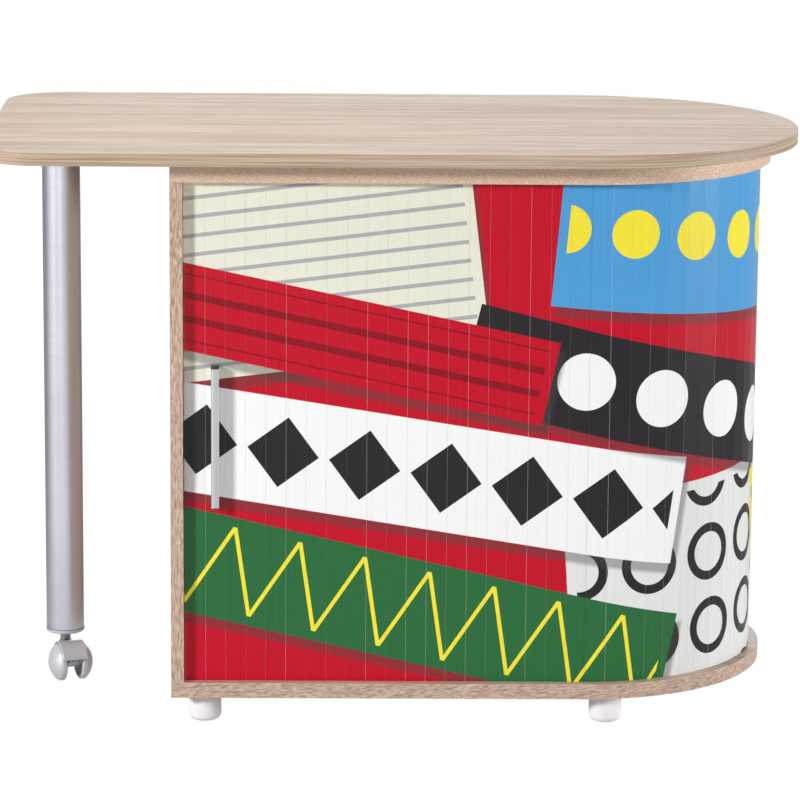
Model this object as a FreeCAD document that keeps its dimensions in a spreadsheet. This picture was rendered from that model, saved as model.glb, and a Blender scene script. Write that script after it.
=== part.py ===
import FreeCAD, Part
import math
import os

import Sketcher

# Swivel desk: a D-shaped cabinet with a sliding shutter, under a table top that turns on a pivot.
# The origin is on the floor under the middle of the table top; X runs to the round end, Y to the back.

# Driving dimensions in millimetres, angles in degrees
SIZES = {
    # table top
    "desk_height": 750,
    "table_length": 1050,
    "table_depth": 560,
    "table_thickness": 18,
    "table_corner_radius": 80,
    "table_edge_radius": 1,
    # cabinet
    "cabinet_length": 776,
    "cabinet_depth": 490,
    "board_thickness": 20,
    "board_edge_radius": 0.8,
    "side_thickness": 16,
    "panel_thickness": 16,
    "back_thickness": 10,
    "partition_offset": 45,
    "shelf_thickness": 16,
    "shelf_setback": 4,
    "shelf_clearance": 0.5,
    "lower_shelf_height": 216,
    "upper_shelf_height": 432,
    # feet
    "foot_height": 39,
    "foot_diameter": 42,
    "foot_edge_radius": 9,
    "foot_inset": 42,
    "right_foot_offset": 29,
    "foot_stud_diameter": 8,
    "foot_stud_length": 30,
    # shutter
    "shutter_inset": 13,
    "shutter_start": 2.2,
    "shutter_room": 4,
    "slat_pitch_wanted": 25.6,
    "slat_gap": 0.4,
    "slat_thickness": 5,
    "slat_bevel": 0.6,
    "slat_bevel_depth": 1.8,
    "slat_end_clearance": 0.5,
    "groove_depth": 8,
    "groove_clearance": 0.6,
    "lead_slat_count": 2,
    "tail_slat_count": 2,
    # handle
    "handle_length": 184,
    "handle_width": 10,
    "handle_depth": 17,
    "handle_wall": 1.5,
    "handle_back_wall": 3,
    "handle_edge_radius": 1,
    "handle_cap_thickness": 2,
    "handle_cap_spigot": 8,
    "handle_height": 380,
    "handle_screw_spacing": 128,
    "handle_screw_diameter": 4,
    "handle_screw_head": 7.5,
    "handle_screw_head_height": 2.4,
    "handle_screw_end": 1.5,
    # pivot
    "pivot_plate_diameter": 160,
    "pivot_plate_thickness": 2.5,
    "pivot_pin_diameter": 12,
    "pivot_pin_end": 3,
    "pivot_screw_circle": 132,
    "glide_ring_thickness": 2.5,
    "glide_ring_width": 28,
    "bush_wall": 5,
    "bush_flange_width": 4,
    "bush_flange_thickness": 2,
    "washer_diameter": 30,
    "washer_thickness": 2,
    "nut_across_flats": 19,
    "nut_height": 12,
    "glide_pad_diameter": 24,
    "glide_pad_distance": 190,
    # leg
    "leg_diameter": 50,
    "leg_wall": 1.5,
    "leg_setback": 87,
    "leg_flange_diameter": 110,
    "leg_flange_thickness": 3,
    "leg_spigot_length": 40,
    "leg_spigot_wall": 3,
    "leg_screw_circle": 84,
    "cap_rim_height": 5,
    "cap_rim_overhang": 0.5,
    "cap_edge_radius": 3,
    "cap_insert_length": 28,
    "sleeve_wall": 3,
    # caster
    "caster_angle": 20,
    "caster_trail": 23,
    "stem_diameter": 10,
    "stem_collar_diameter": 14,
    "stem_collar_height": 13.7,
    "stem_depth": 12,
    "stem_top": 6,
    "clip_thickness": 1.2,
    "clip_width": 2.5,
    "clip_groove": 0.6,
    "wheel_diameter": 50,
    "wheel_tread": 7.5,
    "wheel_dome": 12,
    "wheel_edge_radius": 3,
    "wheel_rim_radius": 6,
    "wheel_recess_depth": 7,
    "wheel_rim": 4,
    "wheel_hub_wall": 4,
    "wheel_side_clearance": 0.5,
    "axle_diameter": 6,
    "axle_cover": 4,
    "hood_wall": 2,
    "hood_clearance": 1,
    "hood_width": 34,
    "hood_web": 19,
    "hood_skirt_rise": 9,
    "hood_lip": 2,
    "hood_seat_rise": 23.3,
    "hood_seat_radius": 9,
    "hood_hub_wall": 5,
    "hood_edge_radius": 1.2,
    # fasteners
    "wood_screw_diameter": 4,
    "wood_screw_head": 8,
    "wood_screw_length": 15,
    "dowel_diameter": 6,
    "dowel_length": 30,
    "dowel_board_depth": 10,
    "dowel_inset": 50,
    "cam_diameter": 15,
    "cam_depth": 12.5,
    "cam_distance": 24,
    "cam_inset": 100,
    "cam_bolt_diameter": 7,
    "cam_bolt_board_depth": 10,
    "shelf_pin_diameter": 5,
    "shelf_pin_length": 16,
    "shelf_pin_inset": 50,
    # fits
    "fit_clearance": 0.05,
    "running_clearance": 0.1,
    "depth_clearance": 0.5,
}

# Places worked out from the driving dimensions, as formulas of the second sheet
PLACES = {
    # levels, from the floor up
    "wheel_radius": "sizes.wheel_diameter / 2",
    "hood_inner": "wheel_radius + sizes.hood_clearance",
    "hood_radius": "hood_inner + sizes.hood_wall",
    "hood_seat": "wheel_radius + sizes.hood_seat_rise",
    "cap_underside": "hood_seat + sizes.stem_collar_height",
    "tube_bottom": "cap_underside + sizes.cap_rim_height",
    "sleeve_top": "tube_bottom + sizes.cap_insert_length",
    "table_underside": "sizes.desk_height - sizes.table_thickness",
    "tube_top": "table_underside - sizes.leg_flange_thickness",
    "plate_underside": "table_underside - sizes.pivot_plate_thickness",
    "cabinet_top": "plate_underside - sizes.glide_ring_thickness",
    "ceiling": "cabinet_top - sizes.board_thickness",
    "cabinet_floor": "sizes.foot_height + sizes.board_thickness",
    "clear_height": "ceiling - cabinet_floor",
    # cabinet plan
    "pivot_x": "(sizes.table_length - sizes.table_depth) / 2",
    "cabinet_radius": "sizes.cabinet_depth / 2",
    "cabinet_left": "pivot_x + cabinet_radius - sizes.cabinet_length",
    "inner_left": "cabinet_left + sizes.side_thickness",
    "shutter_face": "cabinet_radius - sizes.shutter_inset",
    "shutter_back": "shutter_face - sizes.slat_thickness",
    "groove_outer": "shutter_face + sizes.groove_clearance",
    "groove_inner": "shutter_back - sizes.groove_clearance",
    "inside_limit": "groove_inner - sizes.shutter_room",
    "partition_right": "pivot_x - sizes.partition_offset",
    "partition_left": "partition_right - sizes.panel_thickness",
    "false_back_front": "inside_limit - sizes.panel_thickness",
    "back_panel_front": "cabinet_radius - sizes.back_thickness",
    "shelf_front": "-inside_limit + sizes.shelf_setback",
    # shutter
    "shutter_run": "pivot_x - inner_left - sizes.shutter_start",
    "front_slat_count": "round(shutter_run / sizes.slat_pitch_wanted)",
    "slat_pitch": "shutter_run / front_slat_count",
    "slat_width": "slat_pitch - sizes.slat_gap",
    "slat_bottom": "cabinet_floor - sizes.groove_depth + sizes.slat_end_clearance",
    "slat_length": "clear_height + 2 * (sizes.groove_depth - sizes.slat_end_clearance)",
    "shutter_left": "inner_left + sizes.shutter_start",
    "handle_x": "shutter_left + (sizes.lead_slat_count - 0.5) * slat_pitch",
    "handle_bar_length": "sizes.handle_length - 2 * sizes.handle_cap_thickness",
    # pivot
    "pin_radius": "sizes.pivot_pin_diameter / 2",
    "bush_bore": "pin_radius + sizes.running_clearance",
    "bush_radius": "bush_bore + sizes.bush_wall",
    "bush_hole": "2 * (bush_radius + sizes.fit_clearance)",
    "flange_radius": "bush_radius + sizes.bush_flange_width",
    "ring_inner": "flange_radius + sizes.running_clearance",
    "washer_top": "ceiling - sizes.running_clearance",
    "nut_top": "washer_top - sizes.washer_thickness",
    "nut_underside": "nut_top - sizes.nut_height",
    "pin_end": "nut_underside - sizes.pivot_pin_end",
    "pad_thickness": "table_underside - cabinet_top",
    # leg and caster
    "leg_x": "sizes.leg_setback - sizes.table_length / 2",
    "leg_radius": "sizes.leg_diameter / 2",
    "leg_bore": "leg_radius - sizes.leg_wall",
    "insert_radius": "leg_bore - sizes.fit_clearance",
    "stem_radius": "sizes.stem_diameter / 2",
    "sleeve_bore": "stem_radius + sizes.fit_clearance",
    "sleeve_radius": "sleeve_bore + sizes.sleeve_wall",
    "stem_foot": "hood_seat - sizes.stem_depth",
    "clip_bottom": "sleeve_top + sizes.fit_clearance",
    "axle_x": "leg_x + sizes.caster_trail * sin(sizes.caster_angle)",
    "axle_y": "-sizes.caster_trail * cos(sizes.caster_angle)",
    "wheel_inner": "sizes.hood_web / 2 + sizes.wheel_side_clearance",
    "wheel_rim_x": "wheel_inner + sizes.wheel_tread",
    "wheel_outer": "wheel_rim_x + sizes.wheel_dome",
    "axle_radius": "sizes.axle_diameter / 2",
    "wheel_bore": "axle_radius + sizes.running_clearance",
    "axle_end": "wheel_outer - sizes.axle_cover",
    "wheel_bore_end": "axle_end + sizes.depth_clearance",
    "dome_radius": "(wheel_radius ^ 2 + sizes.wheel_dome ^ 2) / (2 * sizes.wheel_dome)",
    # holes for fasteners
    "wood_screw_hole": "sizes.wood_screw_diameter + 2 * sizes.fit_clearance",
    "screw_head_height": "(sizes.wood_screw_head - sizes.wood_screw_diameter) / 2",
    "plate_screw_hole": "sizes.wood_screw_length - sizes.pivot_plate_thickness + sizes.depth_clearance",
    "flange_screw_hole": "sizes.wood_screw_length - sizes.leg_flange_thickness + sizes.depth_clearance",
    "dowel_hole": "sizes.dowel_diameter + 2 * sizes.fit_clearance",
    "dowel_board_hole": "sizes.dowel_board_depth + sizes.depth_clearance",
    "dowel_panel_hole": "sizes.dowel_length - sizes.dowel_board_depth + sizes.depth_clearance",
    "cam_hole": "sizes.cam_diameter + 2 * sizes.fit_clearance",
    "cam_hole_depth": "sizes.cam_depth + sizes.fit_clearance",
    "cam_bolt_hole": "sizes.cam_bolt_diameter + 2 * sizes.fit_clearance",
    "cam_bolt_board_hole": "sizes.cam_bolt_board_depth + sizes.depth_clearance",
    "pin_hole": "sizes.shelf_pin_diameter + 2 * sizes.fit_clearance",
    "shelf_pin_drop": "sizes.shelf_thickness + sizes.shelf_pin_diameter / 2 + sizes.fit_clearance",
    "pin_hole_depth": "sizes.shelf_pin_length / 2 + sizes.depth_clearance",
    "stud_hole": "sizes.foot_stud_diameter + 2 * sizes.fit_clearance",
    "stud_half": "sizes.foot_stud_length / 2",
    "stud_hole_depth": "stud_half + sizes.depth_clearance",
    "handle_screw_hole": "sizes.handle_screw_diameter + 2 * sizes.fit_clearance",
}

# Two lengths closer than this are the same
TOLERANCE = 1e-6

doc = FreeCAD.newDocument("swivel_desk")


def fill_sheet(name, entries):
    """A sheet with one named cell for each entry."""
    sheet = doc.addObject("Spreadsheet::Sheet", name)
    for row, (alias, content) in enumerate(entries.items(), 1):
        sheet.set(f"A{row}", alias)
        sheet.set(f"B{row}", str(content))
        sheet.setAlias(f"B{row}", alias)
    doc.recompute()
    return sheet


sizes = fill_sheet("sizes", SIZES)
places = fill_sheet("places", {alias: "=" + formula for alias, formula in PLACES.items()})


def size(alias):
    """The number in a named cell of either sheet."""
    return float(getattr(sizes if alias in SIZES else places, alias))


def value(expression):
    """The number that an expression of the sheets' cells comes to."""
    return float(sizes.evalExpression(str(expression)))


def place(piece, x="0", y="0", z="0", turn=None):
    """Bind a piece's position, and its turn about the vertical, to the sheets."""
    for axis, expression in zip("xyz", (x, y, z)):
        piece.setExpression("Placement.Base." + axis, expression)
    if turn:
        piece.setExpression("Placement.Rotation.Angle", turn)


# Sketches


def sketch_on(body, name, role, offset="0"):
    """A sketch on one of the body's own origin planes, or offset from it along the plane's normal."""
    sketch = body.newObject("Sketcher::SketchObject", name)
    plane = next(f for f in body.Origin.OriginFeatures if f.Role == role)
    sketch.AttachmentSupport = [(plane, "")]
    sketch.MapMode = "FlatFace"
    sketch.setExpression("AttachmentOffset.Base.z", offset)
    return sketch


def bind(sketch, constraint, expression):
    """Add a constraint whose datum follows an expression."""
    index = sketch.addConstraint(constraint)
    sketch.setExpression(f"Constraints[{index}]", expression)


def pin_point(sketch, geometry, point, x, y):
    """Hold a point of a sketch at x, y; a plain 0 puts it on the axis."""
    for kind, axis, expression in (("DistanceX", -2, x), ("DistanceY", -1, y)):
        if expression == "0":
            sketch.addConstraint(Sketcher.Constraint("PointOnObject", geometry, point, axis))
        else:
            datum = value(expression)
            bind(sketch, Sketcher.Constraint(kind, -1, 1, geometry, point, datum), expression)


def arc_between(start, end, radius, turn):
    """An arc under a half circle from start to end; turn is 1 for anticlockwise, -1 for clockwise."""
    chord = end - start
    middle = (start + end) * 0.5
    rise = math.sqrt(radius ** 2 - (chord.Length / 2) ** 2)
    side = FreeCAD.Vector(-chord.y, chord.x, 0).normalize() * turn
    centre = middle + side * rise
    first, last = (start, end) if turn > 0 else (end, start)
    angles = [math.atan2(p.y - centre.y, p.x - centre.x) for p in (first, last)]
    if angles[1] < angles[0]:
        angles[1] += 2 * math.pi
    circle = Part.Circle(centre, FreeCAD.Vector(0, 0, 1), radius)
    return Part.ArcOfCircle(circle, angles[0], angles[1])


def outline(sketch, corners):
    """A closed outline. Each corner is x, y, and may add the radius and turn of an arc to the next."""
    points = [FreeCAD.Vector(value(c[0]), value(c[1]), 0) for c in corners]
    ends = []
    for index, corner in enumerate(corners):
        start = points[index]
        end = points[(index + 1) % len(points)]
        if len(corner) == 2:
            sketch.addGeometry(Part.LineSegment(start, end))
            ends.append((1, 2))
        else:
            radius, turn = corner[2:]
            sketch.addGeometry(arc_between(start, end, value(radius), turn))
            ends.append((1, 2) if turn > 0 else (2, 1))
    for index, corner in enumerate(corners):
        before = index - 1 if index else len(corners) - 1
        join = Sketcher.Constraint("Coincident", before, ends[before][1], index, ends[index][0])
        sketch.addConstraint(join)
        pin_point(sketch, index, ends[index][0], corner[0], corner[1])
        if len(corner) > 2:
            bind(sketch, Sketcher.Constraint("Radius", index, value(corner[2])), corner[2])


def circles(sketch, centres, diameter):
    """Circles of one diameter about the given centres."""
    for x, y in centres:
        centre = FreeCAD.Vector(value(x), value(y), 0)
        circle = Part.Circle(centre, FreeCAD.Vector(0, 0, 1), value(diameter) / 2)
        index = sketch.addGeometry(circle)
        pin_point(sketch, index, 3, x, y)
        bind(sketch, Sketcher.Constraint("Diameter", index, value(diameter)), diameter)


def rectangle(left, right, low, high):
    """The corners of an upright rectangle."""
    return [(left, low), (right, low), (right, high), (left, high)]


def round_ended(left, radius):
    """The corners of a plan that is square at the left and a half circle about the pivot at the right."""
    pivot = "places.pivot_x"
    return [
        (left, f"-({radius})"),
        (pivot, f"-({radius})", radius, 1),
        (f"{pivot} + {radius}", "0", radius, 1),
        (pivot, radius),
        (left, radius),
    ]


# Features


def new_body(label):
    body = doc.addObject("PartDesign::Body", label)
    body.Label = label
    return body


def pad(body, sketch, length, both_ways=False):
    feature = body.newObject("PartDesign::Pad", sketch.Name + "_pad")
    feature.Profile = sketch
    feature.setExpression("Length", length)
    if both_ways:
        feature.Midplane = True
    sketch.Visibility = False
    return feature


def pocket(body, sketch, depth, forward=False):
    """Cut a sketch into the body, against the plane's normal, or along it where forward is true."""
    feature = body.newObject("PartDesign::Pocket", sketch.Name + "_pocket")
    feature.Profile = sketch
    feature.Reversed = forward
    feature.setExpression("Length", depth)
    return feature


def holes(body, name, role, offset, centres, diameter, depth, forward=False):
    """Round holes of one size from a plane into the body."""
    sketch = sketch_on(body, name, role, offset)
    circles(sketch, centres, diameter)
    return pocket(body, sketch, depth, forward)


def revolve(body, sketch, axis):
    feature = body.newObject("PartDesign::Revolution", sketch.Name + "_turn")
    feature.Profile = sketch
    feature.ReferenceAxis = (sketch, [axis])
    feature.Angle = 360
    return feature


def round_edges(body, name, chosen, radius):
    """Round the edges of the body's last feature that a test picks out."""
    doc.recompute()
    base = body.Tip
    names = [f"Edge{i}" for i, edge in enumerate(base.Shape.Edges, 1) if chosen(edge)]
    feature = body.newObject("PartDesign::Fillet", name)
    feature.Base = (base, names)
    feature.setExpression("Radius", radius)
    return feature


def turned(label, corners, x="0", y="0", z="0", axis="V_Axis", turn=None):
    """A piece turned on a lathe: its half section, swept about the sketch's upright or level axis."""
    body = new_body(label)
    sketch = sketch_on(body, label + "_section", "XZ_Plane")
    outline(sketch, corners)
    revolve(body, sketch, axis)
    place(body, x, y, z, turn)
    return body


def group(label, shapes):
    """Several like solids kept as one piece."""
    piece = doc.addObject("Part::Feature", label)
    piece.Label = label
    piece.Shape = Part.makeCompound(shapes)
    return piece


def vector(x, y, z):
    return FreeCAD.Vector(x, y, z)


def flat_at(*heights):
    """Picks the edges that lie flat at one of the heights."""
    def chosen(edge):
        box = edge.BoundBox
        return any(abs(box.ZMin - h) < TOLERANCE and abs(box.ZMax - h) < TOLERANCE for h in heights)
    return chosen


def upright(edge):
    return edge.BoundBox.ZLength > TOLERANCE


# Places that holes and fasteners share


def ring_of(circle, count, first=45):
    """Unit directions of count points round a circle, with its diameter's cell."""
    step = 360 / count
    angles = [first + step * index for index in range(count)]
    return [(f"{circle} / 2 * cos({a})", f"{circle} / 2 * sin({a})") for a in angles]


def shifted(centres, x):
    return [(f"{x} + {u}", v) for u, v in centres]


SIDE_MIDDLE = "places.cabinet_left + sizes.side_thickness / 2"
PARTITION_MIDDLE = "places.partition_left + sizes.panel_thickness / 2"
FALSE_BACK_MIDDLE = "places.false_back_front + sizes.panel_thickness / 2"
BACK_MIDDLE = "places.back_panel_front + sizes.back_thickness / 2"

SIDE_DOWELS = [
    (SIDE_MIDDLE, "sizes.dowel_inset - places.cabinet_radius"),
    (SIDE_MIDDLE, "0"),
    (SIDE_MIDDLE, "places.cabinet_radius - sizes.dowel_inset"),
]
PARTITION_DOWELS = [
    (PARTITION_MIDDLE, "sizes.dowel_inset - places.inside_limit"),
    (PARTITION_MIDDLE, "places.false_back_front - sizes.dowel_inset"),
]
FALSE_BACK_DOWELS = [
    ("places.inner_left + sizes.dowel_inset", FALSE_BACK_MIDDLE),
    ("places.partition_left - sizes.dowel_inset", FALSE_BACK_MIDDLE),
]
BACK_DOWELS = [
    ("places.inner_left + sizes.dowel_inset", BACK_MIDDLE),
    ("places.pivot_x - sizes.dowel_inset", BACK_MIDDLE),
]
DOWELS = SIDE_DOWELS + PARTITION_DOWELS + FALSE_BACK_DOWELS + BACK_DOWELS

SIDE_CAMS = [
    (SIDE_MIDDLE, "sizes.cam_inset - places.cabinet_radius"),
    (SIDE_MIDDLE, "places.cabinet_radius - sizes.cam_inset"),
]
PARTITION_CAMS = [
    (PARTITION_MIDDLE, "sizes.cam_inset - places.inside_limit"),
    (PARTITION_MIDDLE, "places.false_back_front - sizes.cam_inset"),
]
CAM_BOLTS = SIDE_CAMS + PARTITION_CAMS

SHELF_PIN_ROWS = [
    "places.shelf_front + sizes.shelf_pin_inset",
    "places.false_back_front - sizes.shelf_pin_inset",
]
SHELF_HEIGHTS = ["sizes.lower_shelf_height", "sizes.upper_shelf_height"]
# Both ends of an upright panel: name, level in the panel, and whether holes there go upward
PANEL_ENDS = [("foot", "0", True), ("head", "places.clear_height", False)]

LEFT_FEET = "places.cabinet_left + sizes.foot_inset"
RIGHT_FEET = "places.pivot_x + sizes.right_foot_offset"
FEET = {
    "foot_front_left": (LEFT_FEET, "sizes.foot_inset - places.cabinet_radius"),
    "foot_front_right": (RIGHT_FEET, "sizes.foot_inset - places.cabinet_radius"),
    "foot_back_left": (LEFT_FEET, "places.cabinet_radius - sizes.foot_inset"),
    "foot_back_right": (RIGHT_FEET, "places.cabinet_radius - sizes.foot_inset"),
}

PLATE_SCREWS = shifted(ring_of("sizes.pivot_screw_circle", 4), "places.pivot_x")
FLANGE_SCREWS = shifted(ring_of("sizes.leg_screw_circle", 4), "places.leg_x")
HANDLE_SCREWS = [
    "sizes.handle_height - sizes.handle_screw_spacing / 2",
    "sizes.handle_height + sizes.handle_screw_spacing / 2",
]


# Table top


def make_table_top():
    body = new_body("table_top")
    sketch = sketch_on(body, "table_plan", "XY_Plane")
    outline(sketch, round_ended("-sizes.table_length / 2", "sizes.table_depth / 2"))
    pad(body, sketch, "sizes.table_thickness")
    left = -size("table_length") / 2

    def corner(edge):
        return upright(edge) and edge.BoundBox.XMax < left + TOLERANCE

    round_edges(body, "table_corners", corner, "sizes.table_corner_radius")
    round_edges(body, "table_rim", flat_at(0, size("table_thickness")), "sizes.table_edge_radius")
    for name, centres, depth in (
        ("pivot_screw_holes", PLATE_SCREWS, "places.plate_screw_hole"),
        ("leg_screw_holes", FLANGE_SCREWS, "places.flange_screw_hole"),
    ):
        holes(body, name, "XY_Plane", "0", centres, "places.wood_screw_hole", depth, forward=True)
    place(body, z="places.table_underside")


# Cabinet boards and panels


def make_board(label, inner_side, level):
    """The bottom board or the top panel: a D in plan, with the shutter's groove on its inner side."""
    body = new_body(label)
    upward = inner_side == "top"
    plan = sketch_on(body, label + "_plan", "XY_Plane")
    outline(plan, round_ended("places.cabinet_left", "places.cabinet_radius"))
    pad(body, plan, "sizes.board_thickness")
    round_edges(body, label + "_rim", flat_at(0, size("board_thickness")), "sizes.board_edge_radius")
    inner = "sizes.board_thickness" if upward else "0"
    pivot, outer, inside = "places.pivot_x", "places.groove_outer", "places.groove_inner"
    groove = sketch_on(body, label + "_groove", "XY_Plane", inner)
    outline(groove, [
        ("places.inner_left", f"-{outer}"),
        (pivot, f"-{outer}", outer, 1),
        (f"{pivot} + {outer}", "0", outer, 1),
        (pivot, outer),
        ("places.inner_left", outer),
        ("places.inner_left", inside),
        (pivot, inside, inside, -1),
        (f"{pivot} + {inside}", "0", inside, -1),
        (pivot, f"-{inside}"),
        ("places.inner_left", f"-{inside}"),
    ])
    pocket(body, groove, "sizes.groove_depth", forward=not upward)
    for name, centres, diameter, depth in (
        ("dowel_holes", DOWELS, "places.dowel_hole", "places.dowel_board_hole"),
        ("cam_bolt_holes", CAM_BOLTS, "places.cam_bolt_hole", "places.cam_bolt_board_hole"),
    ):
        holes(body, f"{label}_{name}", "XY_Plane", inner, centres, diameter, depth, not upward)
    place(body, z=level)
    return body


def make_boards():
    bottom = make_board("bottom_board", "top", "sizes.foot_height")
    holes(bottom, "foot_stud_holes", "XY_Plane", "0", FEET.values(),
          "places.stud_hole", "places.stud_hole_depth", forward=True)
    top = make_board("top_panel", "bottom", "places.ceiling")
    holes(top, "pivot_hole", "XY_Plane", "0", [("places.pivot_x", "0")],
          "places.bush_hole", "sizes.board_thickness", forward=True)


def make_panel(label, left, right, front, back, dowels):
    """An upright panel between the two boards, with dowel holes in its ends."""
    body = new_body(label)
    plan = sketch_on(body, label + "_plan", "XY_Plane")
    outline(plan, rectangle(left, right, front, back))
    pad(body, plan, "places.clear_height")
    for end, level, upward in PANEL_ENDS:
        holes(body, f"{label}_{end}_dowel_holes", "XY_Plane", level, dowels,
              "places.dowel_hole", "places.dowel_panel_hole", upward)
    place(body, z="places.cabinet_floor")
    return body


def make_side(label, left, right, front, back, dowels, cams, face, forward):
    """A panel that carries shelf pins and cam locks on one face; forward says which way they go in."""
    body = make_panel(label, left, right, front, back, dowels)
    rise = "sizes.cam_distance"
    levels = [rise, f"places.clear_height - {rise}"]
    cam_places = [(y, z) for _, y in cams for z in levels]
    holes(body, label + "_cam_holes", "YZ_Plane", face, cam_places,
          "places.cam_hole", "places.cam_hole_depth", forward)
    for end, level, upward in PANEL_ENDS:
        holes(body, f"{label}_{end}_bolt_holes", "XY_Plane", level, cams,
              "places.cam_bolt_hole", rise, upward)
    pins = [(y, f"{z} - places.shelf_pin_drop") for y in SHELF_PIN_ROWS for z in SHELF_HEIGHTS]
    holes(body, label + "_pin_holes", "YZ_Plane", face, pins,
          "places.pin_hole", "places.pin_hole_depth", forward)


def make_panels():
    make_side(
        "side_panel", "places.cabinet_left", "places.inner_left", "-places.cabinet_radius",
        "places.cabinet_radius", SIDE_DOWELS, SIDE_CAMS, "places.inner_left", False)
    make_side(
        "partition", "places.partition_left", "places.partition_right", "-places.inside_limit",
        "places.false_back_front", PARTITION_DOWELS, PARTITION_CAMS, "places.partition_left", True)
    make_panel(
        "false_back", "places.inner_left", "places.partition_right", "places.false_back_front",
        "places.inside_limit", FALSE_BACK_DOWELS)
    make_panel(
        "back_panel", "places.inner_left", "places.pivot_x", "places.back_panel_front",
        "places.cabinet_radius", BACK_DOWELS)


def make_shelf(label, height):
    shelf = doc.addObject("Part::Box", label)
    shelf.Label = label
    clearance = "sizes.shelf_clearance"
    shelf.setExpression("Length", f"places.partition_left - places.inner_left - 2 * {clearance}")
    shelf.setExpression("Width", f"places.false_back_front - places.shelf_front - {clearance}")
    shelf.setExpression("Height", "sizes.shelf_thickness")
    level = f"places.cabinet_floor + {height} - sizes.shelf_thickness"
    place(shelf, f"places.inner_left + {clearance}", "places.shelf_front", level)


def make_feet():
    edge = "sizes.foot_edge_radius"
    radius = "sizes.foot_diameter / 2"
    top = "sizes.foot_height"
    bore = "places.stud_hole / 2"
    floor = "sizes.foot_height - places.stud_hole_depth"
    section = [
        ("0", "0"),
        (f"{radius} - {edge}", "0", edge, 1),
        (radius, edge),
        (radius, top),
        (bore, top),
        (bore, floor),
        ("0", floor),
    ]
    for label, (x, y) in FEET.items():
        turned(label, section, x, y)


# Shutter


def slat_blank():
    """One slat standing in its grooves, its middle on the line where the round end begins."""
    half = size("slat_width") / 2
    bevel = size("slat_bevel")
    outer = -size("shutter_face")
    inner = -size("shutter_back")
    shoulder = inner - size("slat_bevel_depth")
    section = [
        (-half, outer),
        (half, outer),
        (half, shoulder),
        (half - bevel, inner),
        (bevel - half, inner),
        (-half, shoulder),
    ]
    corners = [vector(size("pivot_x") + x, y, size("slat_bottom")) for x, y in section]
    face = Part.Face(Part.makePolygon(corners + corners[:1]))
    return face.extrude(vector(0, 0, size("slat_length")))


def slat_on_straight(count):
    """A slat of the flat front, counted from the round end to the left."""
    slat = slat_blank()
    slat.translate(vector(-(count + 0.5) * size("slat_pitch"), 0, 0))
    return slat


def turned_about_pivot(slat, angle):
    slat.rotate(vector(size("pivot_x"), 0, 0), vector(0, 0, 1), angle)
    return slat


def make_shutter():
    front_count = int(size("front_slat_count"))
    lead_count = int(size("lead_slat_count"))
    front = [slat_on_straight(k) for k in range(front_count)]
    group("front_slats", front[:front_count - lead_count])
    group("lead_slat", front[front_count - lead_count + 1:])
    handle_slat = front[front_count - lead_count]
    for height in HANDLE_SCREWS:
        start = vector(size("handle_x"), -size("shutter_face"), value(height))
        radius = size("handle_screw_hole") / 2
        hole = Part.makeCylinder(radius, size("slat_thickness"), start, vector(0, 1, 0))
        handle_slat = handle_slat.cut(hole)
    group("handle_slat", handle_slat.Solids)
    least_room = size("slat_width") + size("slat_gap") / 2
    least_angle = 2 * math.degrees(math.atan2(least_room / 2, size("shutter_back")))
    bend_count = int(180 // least_angle)
    step = 180 / bend_count
    bend = [turned_about_pivot(slat_blank(), (k + 0.5) * step) for k in range(bend_count)]
    group("bend_slats", bend)
    tail = []
    for k in range(int(size("tail_slat_count"))):
        slat = turned_about_pivot(slat_blank(), 180)
        slat.translate(vector(-(k + 0.5) * size("slat_pitch"), 0, 0))
        tail.append(slat)
    group("tail_slats", tail)


# Handle


def make_handle():
    bar = new_body("handle")
    section = sketch_on(bar, "handle_section", "XY_Plane")
    half = "sizes.handle_width / 2"
    front = "-sizes.handle_depth"
    outline(section, rectangle(f"-{half}", half, front, "0"))
    pad(bar, section, "places.handle_bar_length")

    def front_edge(edge):
        return upright(edge) and edge.BoundBox.YMax < -TOLERANCE

    round_edges(bar, "handle_edges", front_edge, "sizes.handle_edge_radius")
    cavity = sketch_on(bar, "handle_cavity", "XY_Plane")
    inner_half = f"({half} - sizes.handle_wall)"
    cavity_front = f"{front} + sizes.handle_wall"
    cavity_back = "-sizes.handle_back_wall"
    outline(cavity, rectangle(f"-{inner_half}", inner_half, cavity_front, cavity_back))
    pocket(bar, cavity, "places.handle_bar_length", forward=True)
    low = "sizes.handle_height - places.handle_bar_length / 2"
    screw_places = [("0", f"{height} - ({low})") for height in HANDLE_SCREWS]
    holes(bar, "handle_screw_holes", "XZ_Plane", "0", screw_places,
          "places.handle_screw_hole", "sizes.handle_back_wall", forward=True)
    place(bar, "places.handle_x", "-places.shutter_face", low)
    make_handle_caps()


def make_handle_caps():
    """A plug with a cover plate in each end of the bar."""
    width, depth, wall = size("handle_width"), size("handle_depth"), size("handle_wall")
    fit, back_wall = size("fit_clearance"), size("handle_back_wall")
    plate_height, spigot_height = size("handle_cap_thickness"), size("handle_cap_spigot")
    corner = vector(size("handle_x") - width / 2, -size("shutter_face") - depth, 0)
    plate = Part.makeBox(width, depth, plate_height, corner)
    inner_width = width - 2 * (wall + fit)
    inner_depth = depth - wall - back_wall - 2 * fit
    inner_corner = corner + vector(wall + fit, wall + fit, -spigot_height)
    plug = plate.fuse(Part.makeBox(inner_width, inner_depth, spigot_height, inner_corner))
    half = size("handle_bar_length") / 2
    upper = plug.copy()
    upper.translate(vector(0, 0, size("handle_height") + half))
    lower = plug.mirror(vector(0, 0, 0), vector(0, 0, 1))
    lower.translate(vector(0, 0, size("handle_height") - half))
    group("handle_end_caps", [upper, lower])


# Pivot between the table top and the cabinet


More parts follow.
